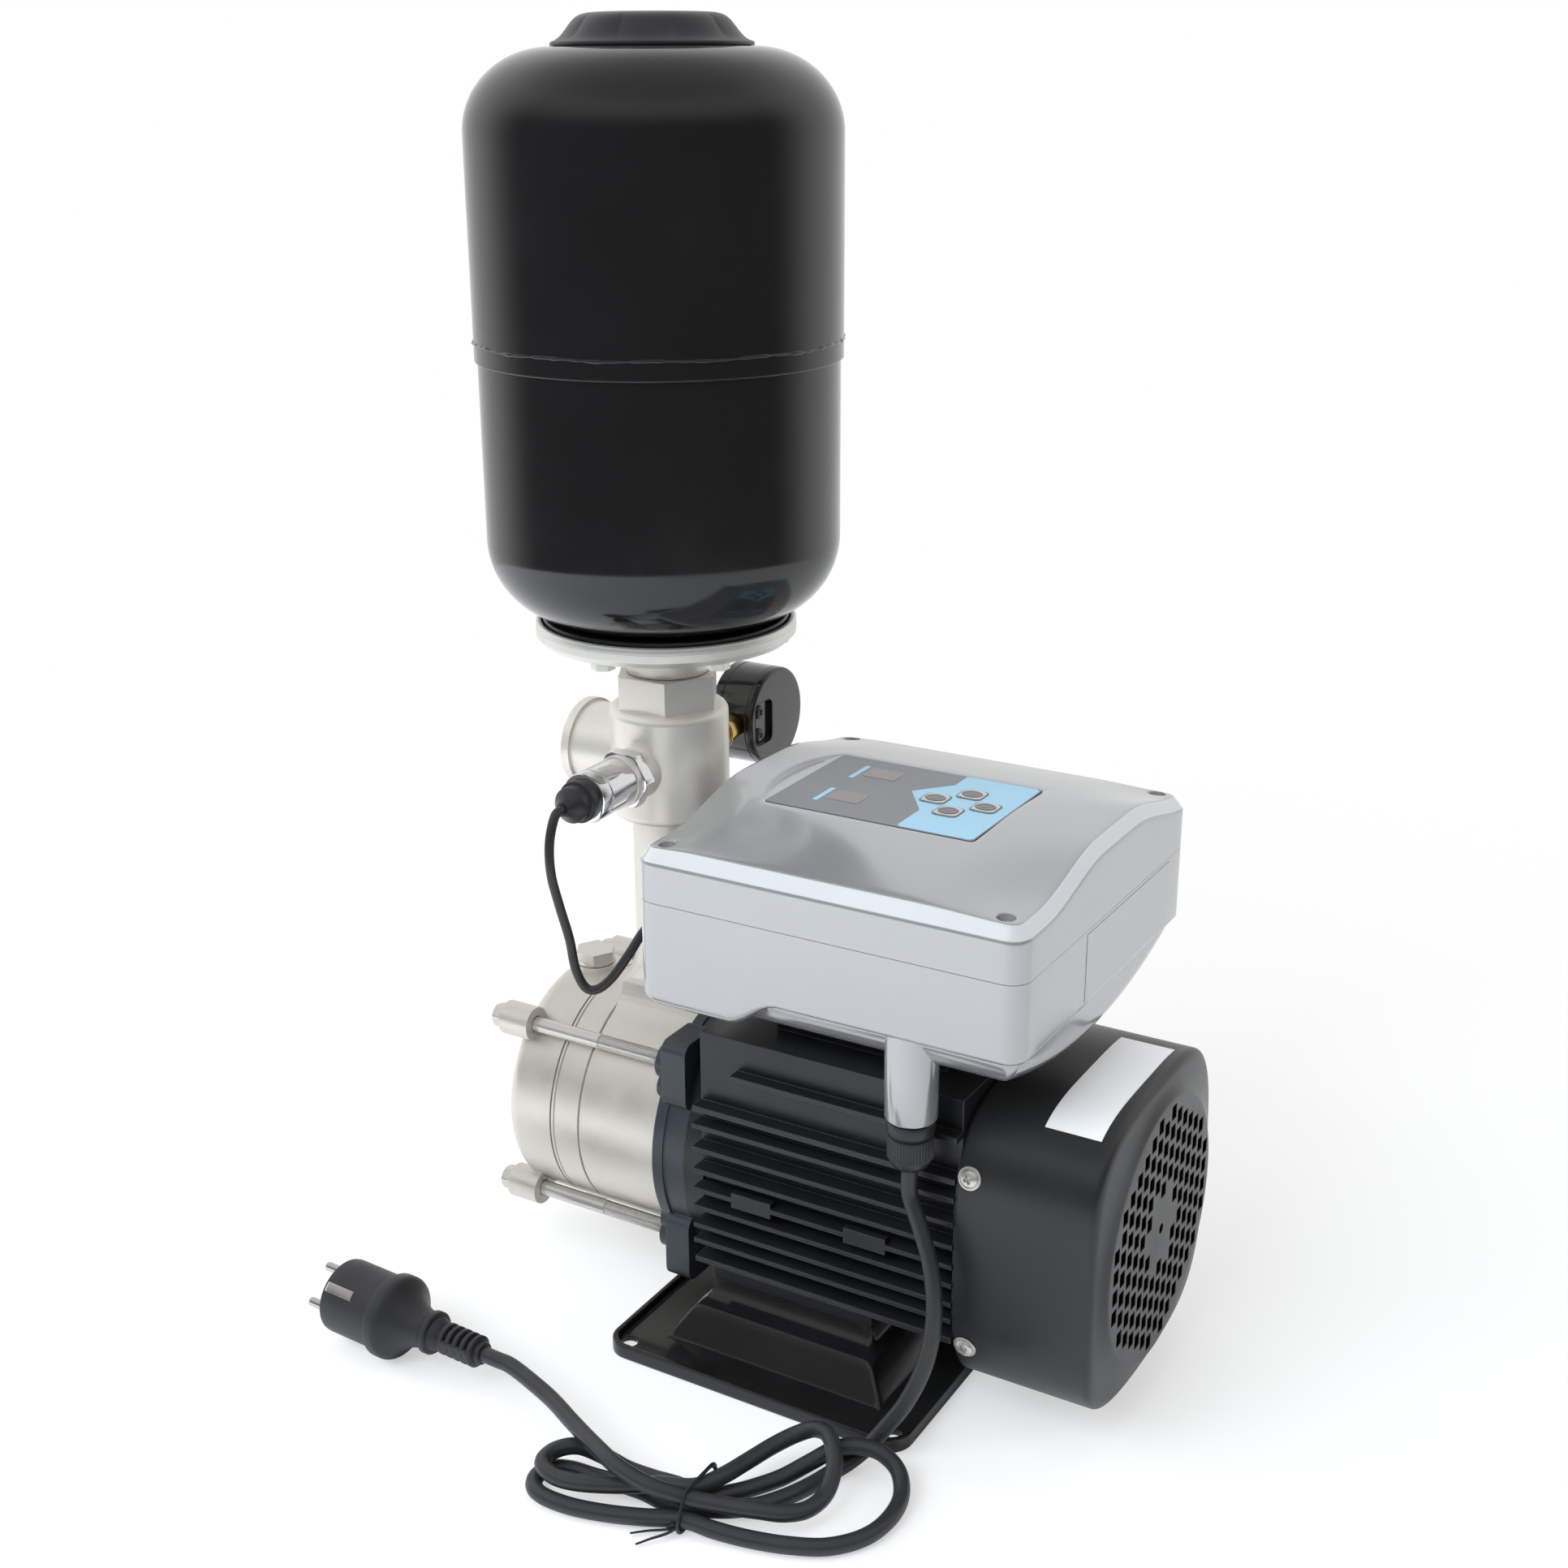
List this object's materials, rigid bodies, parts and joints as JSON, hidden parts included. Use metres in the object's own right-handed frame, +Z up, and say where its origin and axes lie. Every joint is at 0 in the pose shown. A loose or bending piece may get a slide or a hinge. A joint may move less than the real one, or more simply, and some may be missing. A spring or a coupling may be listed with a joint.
{
  "type": "garden booster pump with pressure tank",
  "caption": "Horizontal stainless multistage pump driven by a finned motor, with a black pressure tank over its outlet and a grey speed controller on the motor",
  "frame": {"origin": "on the floor, at the centre of the four base bolt holes", "axes": "X along the shaft with the pump inlet at -X and the fan at +X, Y across the pump with the gauge at +Y and the sensor at -Y, +Z up through the base and the tank"},
  "size_m": [0.3934, 0.3275, 0.6332],
  "materials": {
    "gloss_black_paint": "gloss",
    "satin_black_paint": "satin",
    "black_casting": "satin over cast aluminium",
    "lamination_steel": "stacked sheet",
    "winding_copper": "enamelled copper",
    "bearing_steel": "ground",
    "turned_steel": "turned",
    "stainless": "pickled and lightly brushed",
    "bolt_stainless": "bright",
    "zinc_plate": "zinc plated",
    "black_rubber": "moulded",
    "seal_ceramic": "lapped ceramic",
    "seal_carbon": "carbon and rubber",
    "fan_plastic": "moulded",
    "black_plastic": "moulded",
    "valve_plastic": "moulded",
    "valve_brass": "turned",
    "sensor_chrome": "polished",
    "dial_white": "matt print",
    "gauge_glass": "clear",
    "needle_red": "matt",
    "grey_plastic": "metallic grey, semi-gloss",
    "keypad_foil": "printed foil, grey with a light blue field",
    "key_grey": "domed foil",
    "board_green": "lacquered board",
    "cord_black": "smooth sheath",
    "pin_nickel": "nickel plated"
  },
  "bodies": {
    "pump": {"base_plate": "gloss_black_paint", "motor_housing": "black_casting", "stator_core": "lamination_steel", "stator_windings": "winding_copper", "front_bracket": "black_casting", "rear_endshield": "black_casting", "bearing_outer_rings": "bearing_steel", "bearing_balls": "bearing_steel", "stage_chambers": "stainless", "guide_vanes": "stainless", "front_cover": "stainless", "casing_sleeve": "stainless", "discharge_casing": "stainless", "casing_o_rings": "black_rubber", "seal_seat": "seal_ceramic", "fan_cover": "satin_black_paint", "fan_cover_screws": "bolt_stainless", "tie_bolts": "bolt_stainless", "five_way_body": "stainless", "valve_spring": "turned_steel", "tank_nipple": "bolt_stainless", "tank_flange": "zinc_plate", "flange_bolts": "zinc_plate", "tank_lower_shell": "gloss_black_paint", "tank_upper_shell": "gloss_black_paint", "tank_bladder": "black_rubber", "air_valve": "valve_brass", "pressure_sensor": "sensor_chrome", "sensor_gland": "black_plastic", "sensor_cord": "cord_black", "gauge_case": "black_plastic", "gauge_dial": "dial_white", "gauge_lens": "gauge_glass", "inverter_housing": "grey_plastic", "inverter_lid": "grey_plastic", "lid_screws": "bolt_stainless", "keypad_panel": "keypad_foil", "circuit_board": "board_green", "cable_gland": "black_plastic", "power_cord": "cord_black", "cord_tie": "black_plastic", "plug_body": "black_rubber", "plug_pins": "pin_nickel"},
    "rotor": {"bearing_inner_rings": "bearing_steel", "shaft": "turned_steel", "rotor_core": "lamination_steel", "impellers": "stainless", "impeller_nut": "bolt_stainless", "seal_rotary": "seal_carbon", "cooling_fan": "fan_plastic"},
    "needle": {"gauge_needle": "needle_red"},
    "poppet": {"valve_poppet": "valve_plastic"},
    "left_key": {"key_left": "key_grey"},
    "right_key": {"key_right": "key_grey"},
    "up_key": {"key_up": "key_grey"},
    "down_key": {"key_down": "key_grey"},
    "cap": {"tank_cap": "black_plastic"},
    "filler": {"filler_plug": "bolt_stainless"},
    "drain": {"drain_plug": "bolt_stainless"}
  },
  "joints": [
    {"name": "rotor_spin", "type": "hinge", "parent": "pump", "child": "rotor", "pos_m": [0, 0, 0.0915], "axis": [1, 0, 0], "continuous": true},
    {"name": "gauge_reading", "type": "hinge", "parent": "pump", "child": "needle", "pos_m": [-0.11, 0.084, 0.2825], "axis": [1, 0, 0], "range_deg": [0, 270], "stiffness_Nm_per_rad": 0.01},
    {"name": "check_lift", "type": "slide", "parent": "pump", "child": "poppet", "axis": [0, 0, 1], "range_m": [0, 0.006], "stiffness_N_per_m": 60, "springref_m": -0.004, "deforming": ["valve_spring"]},
    {"name": "key_left_press", "type": "slide", "parent": "pump", "child": "left_key", "axis": [0, 0, -1], "range_m": [0, 0.0005], "stiffness_N_per_m": 800, "springref_m": -0.001},
    {"name": "key_right_press", "type": "slide", "parent": "pump", "child": "right_key", "axis": [0, 0, -1], "range_m": [0, 0.0005], "stiffness_N_per_m": 800, "springref_m": -0.001},
    {"name": "key_up_press", "type": "slide", "parent": "pump", "child": "up_key", "axis": [0, 0, -1], "range_m": [0, 0.0005], "stiffness_N_per_m": 800, "springref_m": -0.001},
    {"name": "key_down_press", "type": "slide", "parent": "pump", "child": "down_key", "axis": [0, 0, -1], "range_m": [0, 0.0005], "stiffness_N_per_m": 800, "springref_m": -0.001},
    {"name": "cap_pull", "type": "slide", "parent": "pump", "child": "cap", "axis": [0, 0, 1], "range_m": [0, 0.03]},
    {"name": "filler_pull", "type": "slide", "parent": "pump", "child": "filler", "axis": [0, 0, 1], "range_m": [0, 0.014]},
    {"name": "drain_pull", "type": "slide", "parent": "pump", "child": "drain", "axis": [0, 0, -1], "range_m": [0, 0.012]}
  ]
}
